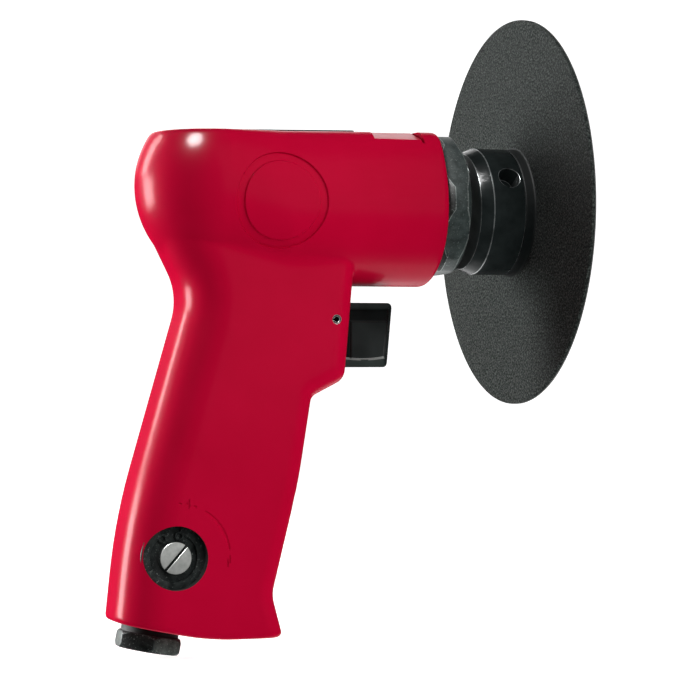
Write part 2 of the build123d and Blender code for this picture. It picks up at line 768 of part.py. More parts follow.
def make_valve_spring():
    height = spring_space - spring_wire - 2 * running_clearance
    start = (spring_back_x + spring_wire / 2 + running_clearance, 0, valve_z)
    path = Helix(height / spring_turns, height, spring_diameter / 2, center=start, direction=(1, 0, 0))
    print("valve_spring gap between turns", round(height / spring_turns - spring_wire, 2))
    return sweep(Plane(origin=path @ 0, z_dir=path % 0) * Circle(spring_wire / 2), path=path)


# Regulator

def make_regulator_stem():
    x, z = regulator_centre.X, regulator_centre.Z
    stem = cross_bar(plug_y, regulator_reach - running_clearance, regulator_radius - running_clearance, x, z)
    nose_y = -grip_half + nose_inset
    stem += cross_bar(nose_y, plug_y + overshoot, regulator_nose / 2, x, z)
    stem -= inlet_bar(regulator_height - regulator_bore, regulator_height + regulator_bore,
                      passage_diameter / 2)
    half = regulator_ring_wire / 2 + running_clearance
    groove = cross_bar(-regulator_ring_place - half, -regulator_ring_place + half, regulator_bore, x, z)
    floor = regulator_radius - regulator_ring_wire - 2 * running_clearance
    groove -= cross_bar(-grip_half, grip_half, floor, x, z)
    slot = Pos(x, nose_y, z) * Rot(0, -driver_slot_turn, 0) * Box(
        2 * regulator_nose, 2 * driver_slot_depth, driver_slot_width)
    return stem - groove - slot


def make_regulator_o_ring():
    half = regulator_ring_wire / 2
    return round_wire(regulator_radius - running_clearance - half, half, regulator_centre.X,
                      -regulator_ring_place, regulator_centre.Z, along_y=True)


def make_regulator_retaining_ring():
    outer = regulator_radius + ring_groove - running_clearance
    inner = outer - ring_width
    lug_place = inner - ring_lug_radius / 2 + running_clearance
    shape = Circle(outer) - Circle(inner)
    reach = 2 * outer
    side = radians(ring_lug_turn)
    gap = make_face(Polyline((0, 0), (-reach * sin(side), reach * cos(side)),
                             (reach * sin(side), reach * cos(side)), close=True))
    shape -= gap
    spots = [Pos(sign * lug_place * sin(side), lug_place * cos(side)) for sign in (-1, 1)]
    shape += [spot * Circle(ring_lug_radius) for spot in spots]
    shape -= [spot * Circle(ring_lug_hole / 2) for spot in spots]
    plane = Plane(origin=(regulator_centre.X, ring_y, regulator_centre.Z), x_dir=(1, 0, 0), z_dir=(0, -1, 0))
    return extrude(plane * Rot(0, 0, ring_gap_turn) * shape, amount=-ring_thickness)


# Air inlet

def make_inlet_bushing():
    hexagon = RegularPolygon(inlet_hex / 2, 6, major_radius=False, rotation=inlet_hex_turn)
    head = extrude(inlet_plane(inlet_mouth) * hexagon, amount=inlet_hex_length)
    middle = inlet_mouth + inlet_hex_length / 2
    narrow = inlet_hex / 2 / cos(radians(30)) - inlet_hex_chamfer
    wide = narrow + inlet_hex_length / 2
    head &= (extrude(inlet_plane(middle) * Circle(wide), amount=inlet_hex_length / 2, taper=45)
             + extrude(inlet_plane(middle) * Circle(wide), amount=-inlet_hex_length / 2, taper=45))
    bushing = head + inlet_bar(inlet_mouth + inlet_hex_length, inlet_shank_length, inlet_shank_diameter / 2)
    thread_end = inlet_mouth + inlet_thread_length
    bushing -= inlet_bar(inlet_mouth, inlet_shank_length, passage_diameter / 2)
    bushing -= inlet_bar(inlet_mouth, thread_end + screen_thickness, screen_diameter / 2)
    return bushing - inlet_bar(inlet_mouth, thread_end, inlet_thread_diameter / 2)


def make_inlet_screen():
    start = inlet_mouth + inlet_thread_length
    disc = inlet_bar(start, start + screen_thickness, screen_diameter / 2 - seat_clearance)
    places = GridLocations(screen_pitch, screen_pitch, screen_rows, screen_rows)
    holes = Sketch() + places * Circle(screen_hole / 2)
    return disc - extrude(inlet_plane(start) * holes, amount=screen_thickness)


def make_inlet_seal():
    inner = inlet_shank_diameter / 2 + seat_clearance
    return (inlet_bar(-inlet_seal_thickness, 0, inlet_seal_diameter / 2)
            - inlet_bar(-inlet_seal_thickness, 0, inner))


# Exhaust

def make_exhaust_deflector():
    bottom = base_z + deflector_inset
    plate = exhaust_plate(bottom, bottom + deflector_thickness, seat_clearance)
    places = GridLocations(1, deflector_slot_pitch, 1, deflector_slot_count)
    slots = Sketch() + places * SlotOverall(deflector_slot_length, deflector_slot_width)
    return plate - extrude(Plane(origin=(exhaust_x, 0, bottom)) * slots, amount=deflector_thickness)


def make_silencer_felt():
    bottom = base_z + deflector_inset + deflector_thickness + seat_clearance
    return exhaust_plate(bottom, bottom + felt_thickness, running_clearance)


front_bearing = bearing(front_bearing_x, front_width, front_bore, front_outer, front_ball, front_ball_count)
rear_bearing = bearing(rear_bearing_x, rear_width, rear_bore, rear_outer, rear_ball, rear_ball_count)

pieces = {
    "housing": make_housing(),
    "top_plate": make_top_plate(),
    "clamp_nut": make_clamp_nut(),
    "spindle_seal": make_spindle_seal(),
    "pad_facing": make_pad_facing(),
    "backing_pad": make_backing_pad(),
    "pad_hub": make_pad_hub(),
    "spindle_spacer": make_spindle_spacer(),
    "rotor": make_rotor(),
    "rotor_vanes": make_rotor_vanes(),
    "motor_cylinder": make_motor_cylinder(),
    "front_end_plate": make_front_end_plate(),
    "rear_end_plate": make_rear_end_plate(),
    "cylinder_dowels": dowel_set(),
    "rear_gasket": make_rear_gasket(),
    "trigger": make_trigger(),
    "trigger_pin": make_trigger_pin(),
    "valve_bushing": make_valve_bushing(),
    "valve_stem": make_valve_stem(),
    "valve_seal": make_valve_seal(),
    "valve_stem_o_ring": make_valve_stem_o_ring(),
    "valve_spring": make_valve_spring(),
    "regulator_stem": make_regulator_stem(),
    "regulator_o_ring": make_regulator_o_ring(),
    "regulator_retaining_ring": make_regulator_retaining_ring(),
    "inlet_bushing": make_inlet_bushing(),
    "inlet_screen": make_inlet_screen(),
    "inlet_seal": make_inlet_seal(),
    "exhaust_deflector": make_exhaust_deflector(),
    "silencer_felt": make_silencer_felt(),
}
for name, piece in front_bearing.items():
    pieces[f"front_bearing_{name}"] = piece
for name, piece in rear_bearing.items():
    pieces[f"rear_bearing_{name}"] = piece

os.makedirs("parts", exist_ok=True)
for name, piece in pieces.items():
    export_step(piece, f"parts/{name}.step")
    print(name, piece.is_valid, round(piece.volume, 1), len(piece.solids()))
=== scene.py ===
import json
from math import atan2, cos, pi, radians, sin, tan

import bmesh
import bpy
from mathutils import Matrix, Vector
from mathutils.bvhtree import BVHTree

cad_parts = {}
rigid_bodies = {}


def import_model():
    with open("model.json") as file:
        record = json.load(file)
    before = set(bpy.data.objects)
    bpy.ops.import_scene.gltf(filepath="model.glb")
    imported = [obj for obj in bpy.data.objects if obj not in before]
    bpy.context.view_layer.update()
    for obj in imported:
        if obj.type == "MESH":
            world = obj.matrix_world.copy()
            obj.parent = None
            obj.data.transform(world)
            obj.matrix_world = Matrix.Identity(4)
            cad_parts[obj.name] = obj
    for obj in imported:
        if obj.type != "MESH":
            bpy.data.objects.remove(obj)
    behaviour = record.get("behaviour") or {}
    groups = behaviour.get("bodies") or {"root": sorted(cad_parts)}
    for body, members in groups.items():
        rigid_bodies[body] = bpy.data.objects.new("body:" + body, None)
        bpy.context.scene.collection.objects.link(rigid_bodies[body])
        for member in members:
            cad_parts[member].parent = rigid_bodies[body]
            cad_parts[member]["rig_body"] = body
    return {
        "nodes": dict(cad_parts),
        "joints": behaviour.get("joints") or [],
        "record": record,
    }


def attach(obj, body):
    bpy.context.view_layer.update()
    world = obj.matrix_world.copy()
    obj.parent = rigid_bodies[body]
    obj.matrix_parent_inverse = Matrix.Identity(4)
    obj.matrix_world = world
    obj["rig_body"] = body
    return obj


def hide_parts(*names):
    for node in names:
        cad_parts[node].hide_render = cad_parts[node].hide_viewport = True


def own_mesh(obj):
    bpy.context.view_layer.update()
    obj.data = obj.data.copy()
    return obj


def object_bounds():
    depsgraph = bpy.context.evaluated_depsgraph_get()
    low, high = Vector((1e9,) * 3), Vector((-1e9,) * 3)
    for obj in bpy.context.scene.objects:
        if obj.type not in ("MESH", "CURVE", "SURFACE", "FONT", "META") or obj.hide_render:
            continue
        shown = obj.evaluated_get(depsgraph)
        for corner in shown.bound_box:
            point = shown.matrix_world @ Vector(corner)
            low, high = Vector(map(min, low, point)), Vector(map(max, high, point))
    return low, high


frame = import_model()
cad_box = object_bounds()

# Dressing of the pistol-grip sander, in the frame of the solids: +X forward out of the pad, +Z up,
# the regulator on the -Y side. Places on the tool are in millimetres. The stage is in metres, as
# all of Blender's own lengths are.

mm = 0.001
scene = bpy.context.scene
nodes = frame["nodes"]
joints = {joint["name"]: joint for joint in frame["joints"]}
node_slot = {part["node"]: part["material_slot"] for part in frame["record"]["subparts"]}

# Barrel, with the flat on its near shoulder and the round seat on its near side
housing_front_x = -32.65
dome_x = -104.95
bore_end_x = -112.8
motor_offset = 1.4
motor_bore_radius = 20.45
mouth_depth, mouth_lift, mouth_width = 0.5, 0.1, 0.6
shoulder_y, shoulder_z, shoulder_radius = 10.9, 16.8, 8.0
flat_front_x, flat_back_x = -39.0, -55.9
flat_tilt = radians(16.3)
flat_depth = 1.5
flat_cut_lift = 3
slot_width, slot_depth = 0.9, 0.9
seat_x, seat_z = -88.8, 1.2
seat_inner, seat_outer = 12.2, 15.1
seat_depth, seat_draft, seat_cut_lift = 0.7, 0.3, 0.7
seat_sides = 180

# Grip, trigger pocket, pin and valve
grip_half = 18.0
face_top, face_bottom = (-60.3, -5.0), (-64.7, -54.9)
pocket_back_x = -79.76
pocket_half_width = 7.8
pocket_bottom, pocket_top = -51.5, -30.1
pocket_corner = 1.2
pocket_cut_length = 40
pin_x, pin_z = -68.86, -35.9
pin_hole_radius, pin_bore_radius = 1.52, 0.85
pin_wall_lap = 0.05
valve_z = -43.8
valve_bore_radius = 6.0
valve_lap = 1
spring_back_x = -114.41
trigger_recess_y = 6.2
lip_top_z, lip_reach = -48.1, 0.7

# Regulator and its dial
regulator_x = joints["regulator_turn"]["pos_m"][0] / mm
regulator_z = joints["regulator_turn"]["pos_m"][2] / mm
regulator_radius, regulator_reach = 10.0, 9.0
ring_front_y, ring_back_y = -14.22, -13.18
ring_groove_radius = 10.7
nose_front_y = -16.5
dial_radius, dial_depth = 17.0, 0.32
# start and end in degrees, half width
dial_marks = [(58, 8, 0.75), (2, -7, 0.4), (72, 68, 0.4), (80, 76.5, 0.35), (88, 84.5, 0.35)]
# number, x, z, size, turn
dial_numbers = [("4", -117.9, -93.6, 4.4, 0.10), ("1", -104.9, -112.2, 3.6, 0.0)]
number_height = 1.0
stroke_steps, stroke_sides = 28, 10
stroke_end, stroke_swell = 0.55, 0.45

# Inlet
inlet_origin = Vector((-125.0, 0, -133.3))
inlet_tilt = radians(10.5)
inlet_up = Vector((sin(inlet_tilt), 0, cos(inlet_tilt)))
inlet_shank_radius, inlet_shank_length = 8.02, 12.0
inlet_cut_lap = 4
passage_radius, passage_end = 4.2, 90
inlet_flat_radius = 9.0
lit_flat_turn = radians(175)

# Exhaust
base_z, exhaust_top = -136.2, -118.4
exhaust_x = -100.0
exhaust_half_length, exhaust_half_width, exhaust_corner = 8.0, 12.0, 5.0
duct_radius = 3.5
duct_side, duct_bottom_side = 12.0, 8.5
gallery_z = -16.0
gallery_back_x, gallery_front_x = -91.0, -69.0

# Pad
pad_front_x, pad_back_x, boss_back_x = -0.3, -1.4, -4.9
pad_rim_radius, boss_radius, pad_hole_radius = 63.5, 20.8, 8.05
rim_front_round, rim_back_round, boss_foot_round, boss_back_round = 0.3, 0.4, 0.8, 0.5
rim_wear_radius, rim_wear = 61.0, 0.55
pad_sides = 360

# Housing skin: its grid, its smoothing, and where the extra smoothing of the blend between barrel
# and grip fades in, by |y|, -x, -z and z
skin_voxel = 0.5
skin_smoothing, blend_smoothing, smoothing_factor = 5, 15, 0.5
blend_aside, blend_behind, blend_under, blend_above = (5, 11), (65, 72), (2, 9), (-42, -31)
blend_dome_x = dome_x - 4

# Laps and gaps
filler_lap = 0.1
overshoot = 2
face_lap, rim_lap = 0.02, 0.3
weld_gap, mirror_gap = 0.0005, 0.001
same_plane = radians(0.4)
ray_start = 100

# Shares of a face's normal along an axis, which tell the faces that have a finish of their own or
# take painted light or shade
shaded_nut_back_share = 0.2
lit_hub_back_share = 0.95
shaded_recess_share = 0.9
lip_under_share = 0.8
lip_highlight_share = 0.2
hex_flat_share, lit_flat_share = 0.2, 0.8


# Meshes

def finish_mesh(bm, name):
    """Mesh from a bmesh in millimetres, with its normals outward."""
    bmesh.ops.recalc_face_normals(bm, faces=bm.faces)
    mesh = bpy.data.meshes.new(name)
    bm.to_mesh(mesh)
    bm.free()
    mesh.transform(Matrix.Scale(mm, 4))
    return mesh


def add_object(mesh, name):
    piece = bpy.data.objects.new(name, mesh)
    scene.collection.objects.link(piece)
    return piece


def join_rings(bm, rings):
    """Faces from each ring of points to the next; a ring of one point is a tip."""
    for lower, upper in zip(rings, rings[1:]):
        for k in range(max(len(lower), len(upper))):
            corners = [lower[k % len(lower)], lower[(k + 1) % len(lower)],
                       upper[(k + 1) % len(upper)], upper[k % len(upper)]]
            bm.faces.new(list(dict.fromkeys(corners)))


def lathe(bm, origin, axis, profile, sides=96):
    """Turned form about an axis, from (distance along it, radius) corners."""
    turn = axis.to_track_quat("Z", "Y").to_matrix()
    steps = [2 * pi * k / sides for k in range(sides)]
    rings = []
    for along, radius in profile:
        centre = origin + axis * along
        if radius == 0:
            rings.append([bm.verts.new(centre)])
            continue
        circle = [Vector((radius * cos(step), radius * sin(step), 0)) for step in steps]
        rings.append([bm.verts.new(centre + turn @ point) for point in circle])
    join_rings(bm, rings)


def rod(bm, start, end, radius, sides=96):
    """Closed round bar between two points."""
    run = end - start
    profile = [(0, 0), (0, radius), (run.length, radius), (run.length, 0)]
    lathe(bm, start, run.normalized(), profile, sides)


def prism(bm, outline, direction):
    """Closed prism from a planar outline."""
    near = [bm.verts.new(Vector(p)) for p in outline]
    far = [bm.verts.new(Vector(p) + Vector(direction)) for p in outline]
    bm.faces.new(near)
    bm.faces.new(list(reversed(far)))
    for k in range(len(near)):
        bm.faces.new([near[k], far[k], far[(k + 1) % len(far)], near[(k + 1) % len(near)]])


def rounded_outline(half_x, half_y, corner, steps=8):
    """Corners of a rounded rectangle."""
    points = []
    for quarter, (sx, sy) in enumerate(((1, 1), (-1, 1), (-1, -1), (1, -1))):
        for k in range(steps + 1):
            turn = pi / 2 * (quarter + k / steps)
            points.append((sx * (half_x - corner) + corner * cos(turn),
                           sy * (half_y - corner) + corner * sin(turn)))
    return points


def evaluated(piece, name):
    """Mesh of an object with its modifiers applied."""
    graph = bpy.context.evaluated_depsgraph_get()
    mesh = bpy.data.meshes.new_from_object(piece.evaluated_get(graph))
    mesh.name = name
    return mesh


def smooth_shaded(mesh, angle=35):
    mesh.shade_smooth()
    mesh.set_sharp_from_angle(angle=radians(angle))


def surface_finder(piece):
    """Search tree of an object's faces."""
    bm = bmesh.new()
    bm.from_mesh(piece.data)
    tree = BVHTree.FromBMesh(bm)
    bm.free()
    return tree


# Housing: the solid's outside with soft cast edges, and its openings cut again with clean edges

def side_height(tree, x, z, side):
    """Distance from the middle plane to the housing's outside at a place on one of its sides."""
    hit = tree.ray_cast(Vector((x, side * ray_start, z)) * mm, Vector((0, -side, 0)))[0]
    return abs(hit.y) / mm


def face_x(z):
    """Front of the grip at a height."""
    share = (z - face_top[1]) / (face_bottom[1] - face_top[1])
    return face_top[0] + (face_bottom[0] - face_top[0]) * share


def duct_rods(side):
    """Ends of the exhaust duct and of the gallery above it, on one side of the middle plane."""
    gallery_y = side * duct_side
    duct_top = Vector(((gallery_back_x + gallery_front_x) / 2, gallery_y, gallery_z))
    duct_bottom = Vector((exhaust_x, side * duct_bottom_side, exhaust_top))
    gallery_back = Vector((gallery_back_x, gallery_y, gallery_z))
    gallery_front = Vector((gallery_front_x, gallery_y, gallery_z))
    return [(duct_top, duct_bottom), (gallery_back, gallery_front)]


def exhaust_outline(z, lap=0.0):
    """Outline of the exhaust chamber at a height, wider by a lap."""
    outline = rounded_outline(exhaust_half_length + lap, exhaust_half_width + lap, exhaust_corner)
    return [(exhaust_x + x, y, z) for x, y in outline]


def housing_block():
    """The far half of the solid, mirrored, with its openings filled, as a soup of closed forms."""
    bm = bmesh.new()
    bm.from_mesh(nodes["housing"].data)
    bmesh.ops.scale(bm, vec=(1 / mm,) * 3, verts=bm.verts)
    bmesh.ops.remove_doubles(bm, verts=bm.verts, dist=weld_gap)
    whole = [*bm.verts, *bm.edges, *bm.faces]
    bmesh.ops.bisect_plane(bm, geom=whole, plane_co=(0, 0, 0), plane_no=(0, 1, 0), clear_inner=True)
    half = [*bm.verts, *bm.edges, *bm.faces]
    bmesh.ops.mirror(bm, geom=half, axis="Y", merge_dist=mirror_gap)

    bore_end = Vector((bore_end_x - filler_lap, 0, motor_offset))
    rod(bm, bore_end, Vector((housing_front_x, 0, motor_offset)), motor_bore_radius + filler_lap)
    bottom, top = pocket_bottom - filler_lap, pocket_top + filler_lap
    back = pocket_back_x - filler_lap
    pocket = [(back, bottom), (face_x(bottom), bottom), (face_x(top), top), (back, top)]
    pocket_half = pocket_half_width + filler_lap
    prism(bm, [(x, -pocket_half, z) for x, z in pocket], (0, 2 * pocket_half, 0))
    pin_half = grip_half - filler_lap
    rod(bm, Vector((pin_x, -pin_half, pin_z)), Vector((pin_x, pin_half, pin_z)),
        pin_hole_radius + filler_lap, sides=24)
    rod(bm, inlet_origin, inlet_origin + inlet_up * (inlet_shank_length + filler_lap),
        inlet_shank_radius + filler_lap)
    prism(bm, exhaust_outline(base_z, filler_lap), (0, 0, exhaust_top - base_z + filler_lap))
    for side in (-1, 1):
        for start, end in duct_rods(side):
            rod(bm, start, end, duct_radius + filler_lap, sides=32)
    return finish_mesh(bm, "housing_block")


def ramp(value, low, high):
    """Smooth rise from 0 to 1."""
    share = min(max((value - low) / (high - low), 0), 1)
    return share * share * (3 - 2 * share)


def blend_weight(point):
    """How much of the extra smoothing between barrel and grip a place takes."""
    x, y, z = point / mm
    across = ramp(abs(y), *blend_aside) if x > blend_dome_x else 1
    return across * ramp(-x, *blend_behind) * ramp(-z, *blend_under) * ramp(z, *blend_above)


def engraved_line(bm, tree, places, radii):
    """Round tube along the near side of the grip, sunk to the depth of the dial."""
    rings = []
    for k, ((x, z), radius) in enumerate(zip(places, radii)):
        (ax, az), (bx, bz) = places[max(k - 1, 0)], places[min(k + 1, len(places) - 1)]
        along = Vector((bx - ax, 0, bz - az)).normalized()
        aside = along.cross(Vector((0, 1, 0)))
        centre = Vector((x, -side_height(tree, x, z, -1) - radius + dial_depth, z))
        ring = []
        for n in range(stroke_sides):
            turn = 2 * pi * n / stroke_sides
            out = aside * cos(turn) + Vector((0, sin(turn), 0))
            ring.append(bm.verts.new(centre + radius * out))
        rings.append(ring)
    join_rings(bm, rings)
    bm.faces.new(rings[0])
    bm.faces.new(rings[-1])


def dial_arc(bm, tree, start, end, width):
    """Stroke of the dial about the regulator, thinner towards its ends."""
    places, radii = [], []
    for k in range(stroke_steps + 1):
        turn = radians(start + (end - start) * k / stroke_steps)
        places.append((regulator_x + dial_radius * cos(turn),
                       regulator_z + dial_radius * sin(turn)))
        radii.append(width * (stroke_end + stroke_swell * sin(pi * k / stroke_steps)))
    engraved_line(bm, tree, places, radii)


def dial_number(tree, text, x, z, size, turn):
    """Plain number, as a form to cut into the near side of the grip."""
    letter = bpy.data.curves.new("number", "FONT")
    letter.body = text
    letter.size = size
    letter.extrude = number_height
    letter.align_x, letter.align_y = "CENTER", "CENTER"
    holder = bpy.data.objects.new("number", letter)
    scene.collection.objects.link(holder)
    mesh = evaluated(holder, "number")
    bpy.data.objects.remove(holder)
    bm = bmesh.new()
    bm.from_mesh(mesh)
    bmesh.ops.remove_doubles(bm, verts=bm.verts, dist=weld_gap)
    place = Vector((x, -side_height(tree, x, z, -1) + dial_depth - number_height, z))
    upright = Matrix.Rotation(turn, 4, "Y") @ Matrix.Rotation(pi / 2, 4, "X")
    bm.transform(Matrix.Translation(place) @ upright)
    return add_object(finish_mesh(bm, "number"), "cutter")


def seat_band(bm, tree):
    """Band to sink round the near side's seat, evenly deep; the plain far side gives the height."""
    corners = [(seat_inner + seat_draft, -seat_depth), (seat_outer - seat_draft, -seat_depth),
               (seat_outer + seat_draft, seat_cut_lift), (seat_inner - seat_draft, seat_cut_lift)]
    rings = []
    for k in range(seat_sides):
        turn = 2 * pi * k / seat_sides
        ring = []
        for radius, lift in corners:
            x, z = seat_x + radius * cos(turn), seat_z + radius * sin(turn)
            ring.append(bm.verts.new((x, -side_height(tree, x, z, 1) - lift, z)))
        rings.append(ring)
    join_rings(bm, rings + rings[:1])


def shoulder_flat(bm, back_x, depth):
    """Cut for the flat on the near shoulder, from its front end to a place behind it."""
    out = Vector((0, -sin(flat_tilt), cos(flat_tilt)))
    across = Vector((0, cos(flat_tilt), sin(flat_tilt))) * shoulder_radius
    middle = Vector((0, -shoulder_y, shoulder_z)) + out * (shoulder_radius - depth)
    front, back = middle + Vector((flat_front_x, 0, 0)), middle + Vector((back_x, 0, 0))
    prism(bm, [front - across, front + across, back + across, back - across],
          out * flat_cut_lift * flat_depth)


def housing_cutters(tree):
    """Closed forms of the openings and the engraving, one for each cut."""
    cutters = [dial_number(tree, *number) for number in dial_numbers]

    def add(build, *values, **settings):
        bm = bmesh.new()
        build(bm, *values, **settings)
        cutters.append(add_object(finish_mesh(bm, "cutter"), "cutter"))

    bore_length = housing_front_x - bore_end_x
    mouth_radius = motor_bore_radius + mouth_width
    add(lathe, Vector((bore_end_x, 0, motor_offset)), Vector((1, 0, 0)), [
        (0, 0), (0, motor_bore_radius), (bore_length - mouth_depth, motor_bore_radius),
        (bore_length + mouth_lift, mouth_radius), (bore_length + overshoot, mouth_radius),
        (bore_length + overshoot, 0)])
    middle_z = (pocket_top + pocket_bottom) / 2
    pocket = rounded_outline(pocket_half_width, (pocket_top - pocket_bottom) / 2, pocket_corner)
    add(prism, [(pocket_back_x, y, middle_z + z) for y, z in pocket], (pocket_cut_length, 0, 0))
    outside = grip_half + overshoot
    add(rod, Vector((pin_x, -outside, pin_z)), Vector((pin_x, outside, pin_z)), pin_hole_radius,
        sides=32)
    add(rod, Vector((spring_back_x, 0, valve_z)), Vector((pocket_back_x + valve_lap, 0, valve_z)),
        valve_bore_radius)
    add(lathe, Vector((regulator_x, 0, regulator_z)), Vector((0, -1, 0)), [
        (-regulator_reach, 0), (-regulator_reach, regulator_radius),
        (-ring_back_y, regulator_radius), (-ring_back_y, ring_groove_radius),
        (-ring_front_y, ring_groove_radius), (-ring_front_y, regulator_radius),
        (outside, regulator_radius), (outside, 0)])
    add(lathe, inlet_origin, inlet_up, [
        (-inlet_cut_lap, 0), (-inlet_cut_lap, inlet_shank_radius),
        (inlet_shank_length, inlet_shank_radius), (inlet_shank_length, passage_radius),
        (passage_end, passage_radius), (passage_end, 0)])
    add(prism, exhaust_outline(base_z - overshoot), (0, 0, exhaust_top - base_z + overshoot))
    for start, end in duct_rods(1):
        add(rod, start, end, duct_radius, sides=32)
    add(shoulder_flat, flat_back_x, flat_depth)
    add(shoulder_flat, flat_front_x - slot_width, flat_depth + slot_depth)
    add(seat_band, tree)
    for mark in dial_marks:
        add(dial_arc, tree, *mark)
    return cutters


def make_housing():
    tree = surface_finder(nodes["housing"])
    block = add_object(housing_block(), "housing_block")
    remesh = block.modifiers.new("skin", "REMESH")
    remesh.mode = "VOXEL"
    remesh.voxel_size = skin_voxel * mm
    skin = add_object(evaluated(block, "housing_skin"), "housing_skin")
    bpy.data.objects.remove(block)

    blend = skin.vertex_groups.new(name="blend")
    for vertex in skin.data.vertices:
        weight = blend_weight(vertex.co)
        if weight > 0:
            blend.add([vertex.index], weight, "REPLACE")
    for group, rounds in (("", skin_smoothing), ("blend", blend_smoothing)):
        smooth = skin.modifiers.new("smooth", "SMOOTH")
        smooth.factor = smoothing_factor
        smooth.iterations = rounds
        smooth.vertex_group = group
    cutters = housing_cutters(tree)
    for cutter in cutters:
        cut = skin.modifiers.new("cut", "BOOLEAN")
        cut.operation = "DIFFERENCE"
        cut.solver = "MANIFOLD"
        cut.object = cutter
        cutter.hide_render = True
    mesh = evaluated(skin, "housing_shell")
    for spare in (skin, *cutters):
        bpy.data.objects.remove(spare)
    smooth_shaded(mesh, angle=30)
    return add_object(mesh, "housing_shell")


# The other pieces that show, with soft edges

def refined(node, width, angle=30):
    """Copy of a solid with its sharp edges rounded. The rounded faces have material index 1."""
    bm = bmesh.new()
    bm.from_mesh(nodes[node].data)
    bmesh.ops.remove_doubles(bm, verts=bm.verts, dist=weld_gap * mm)
    bmesh.ops.dissolve_limit(bm, angle_limit=same_plane, verts=bm.verts, edges=bm.edges)
    mesh = bpy.data.meshes.new(node + "_edges")
    bm.to_mesh(mesh)
    bm.free()
    mesh.materials.append(None)
    mesh.materials.append(None)
    piece = add_object(mesh, node + "_edges")
    bevel = piece.modifiers.new("edges", "BEVEL")
    bevel.limit_method = "ANGLE"
    bevel.angle_limit = radians(angle)
    bevel.width = width * mm
    bevel.segments = 2
    bevel.use_clamp_overlap = False
    bevel.material = 1
    mesh = evaluated(piece, node + "_edges")
    bpy.data.objects.remove(piece)

    # Points that the bevel throws off the solid go back to it
    solid = surface_finder(nodes[node])
    for vertex in mesh.vertices:
        place, _, _, gap = solid.find_nearest(vertex.co)
        if gap > width * mm / 2:
            vertex.co = place
    smooth_shaded(mesh)
    return add_object(mesh, node + "_edges")


def eased(profile, rounds, steps=5):
    """Turned profile with its corners rounded by the given radii."""
    line = []
    for k, (corner, radius) in enumerate(zip(profile, rounds)):
        here = Vector(corner)
        if radius == 0:
            line.append(tuple(here))
            continue
        back = (Vector(profile[k - 1]) - here).normalized()
        ahead = (Vector(profile[k + 1]) - here).normalized()
        reach = radius / tan(back.angle(ahead) / 2)
        start, end = here + back * reach, here + ahead * reach
        for n in range(steps + 1):
            share = n / steps
            line.append(tuple(start.lerp(here, share).lerp(here.lerp(end, share), share)))
    return line


def make_pad():
    """Thin pad with its moulded boss, turned with soft edges."""
    profile = [(pad_front_x, pad_hole_radius), (pad_front_x, pad_rim_radius),
               (pad_back_x, pad_rim_radius), (pad_back_x, boss_radius),
               (boss_back_x, boss_radius), (boss_back_x, pad_hole_radius),
               (pad_front_x, pad_hole_radius)]
    rounds = [0, rim_front_round, rim_back_round, boss_foot_round, boss_back_round, 0, 0]
    bm = bmesh.new()
    lathe(bm, Vector((0, 0, 0)), Vector((1, 0, 0)), eased(profile, rounds), pad_sides)
    bmesh.ops.remove_doubles(bm, verts=bm.verts, dist=weld_gap)
    mesh = finish_mesh(bm, "backing_pad_turned")
    smooth_shaded(mesh)
    return add_object(mesh, "backing_pad_turned")


def make_spring():
    """Copy of the valve spring's wire."""
    mesh = nodes["valve_spring"].data.copy()
    mesh.name = "valve_spring_wire"
    smooth_shaded(mesh)
    return add_object(mesh, "valve_spring_wire")


def settle(piece, node, *materials):
    """Puts a finished piece on its body, with its materials, in place of its solid."""
    kept = [face.material_index for face in piece.data.polygons]
    piece.data.materials.clear()
    for material in materials:
        piece.data.materials.append(material)
    for face, index in zip(piece.data.polygons, kept):
        face.material_index = min(index, len(materials) - 1)
    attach(piece, nodes[node]["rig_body"])
    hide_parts(node)


# Faces that have a finish of their own or take painted light or shade, by their centre in
# millimetres and their normal

def paint_faces(piece, index, choose):
    """Gives a material index to the faces that are chosen."""
    for face in piece.data.polygons:
        if choose(face.center / mm, face.normal):
            face.material_index = index


def everywhere(place, normal):
    return True


def in_machined_bore(place, normal):
    """Faces of the motor bore, the valve bore, the pin hole and the inlet."""
    x, y, z = place
    from_origin = place - inlet_origin
    up = from_origin.dot(inlet_up)
    in_motor = Vector((y, z - motor_offset)).length < motor_bore_radius + face_lap
    in_valve = Vector((y, z - valve_z)).length < valve_bore_radius + face_lap
    in_inlet = (from_origin - inlet_up * up).length < inlet_shank_radius + face_lap
    return (in_motor and x > bore_end_x - face_lap
            or in_valve and spring_back_x - face_lap < x < pocket_back_x
            or Vector((x - pin_x, z - pin_z)).length < pin_hole_radius + face_lap
            or in_inlet and up < inlet_shank_length + face_lap)


def in_bare_or_shaded_opening(place, normal):
    """Faces of the regulator bore, the trigger pocket and the exhaust, short of their rims. The
    regulator bore's wall is unpainted and dark; the dark walls of the pocket are painted shade; the
    exhaust is dark inside.
    """
    x, y, z = place
    from_stem = Vector((x - regulator_x, z - regulator_z)).length
    in_bore = from_stem < regulator_radius + face_lap
    in_groove = y > ring_front_y - face_lap and from_stem < ring_groove_radius + face_lap
    in_pocket = (abs(y) < pocket_half_width + face_lap
                 and pocket_bottom - face_lap < z < pocket_top + face_lap)
    in_exhaust = (abs(x - exhaust_x) < exhaust_half_length + face_lap
                  and abs(y) < exhaust_half_width + face_lap)
    return (y < regulator_reach + face_lap and (in_bore or in_groove)
            or in_pocket and pocket_back_x - face_lap < x < face_x(z) - rim_lap
            or in_exhaust and base_z + rim_lap < z < exhaust_top + face_lap)


# Faces inside the pin's bore, which take painted shade
def in_shaded_pin_bore(place, normal):
    return Vector((place.x - pin_x, place.z - pin_z)).length < pin_bore_radius + pin_wall_lap


